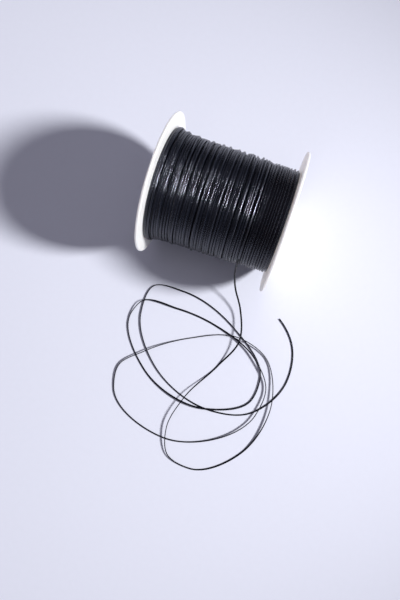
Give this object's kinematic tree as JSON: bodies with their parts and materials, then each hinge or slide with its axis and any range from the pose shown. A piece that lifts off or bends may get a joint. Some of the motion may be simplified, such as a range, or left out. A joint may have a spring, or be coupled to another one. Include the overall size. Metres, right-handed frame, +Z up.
{
  "type": "spool of thread",
  "caption": "Flanged reel wound with waxed sewing cord, lying on its flange rims, with the cord's free end pulled off into loose loops on the table.",
  "frame": {"origin": "on the table, under the middle of the reel; the free cord isn't counted", "axes": "+X along the reel's axis from the left flange to the right one, +Z up, -Y towards the side where the free end leaves"},
  "size_m": [0.0944, 0.167, 0.07],
  "materials": {
    "white_plastic": "moulded polystyrene, smooth satin",
    "paperboard": "spiral-wound paperboard, matt",
    "tape": "paper masking tape, matt",
    "waxed_cord": "braided polyester cord, waxed, soft sheen"
  },
  "bodies": {
    "root": {"core_tube": "paperboard", "left_flange": "white_plastic", "right_flange": "white_plastic", "start_tape": "tape", "thread_inner_layers": "waxed_cord", "thread_outer_layer": "waxed_cord", "thread_tail": "waxed_cord"}
  },
  "joints": []
}
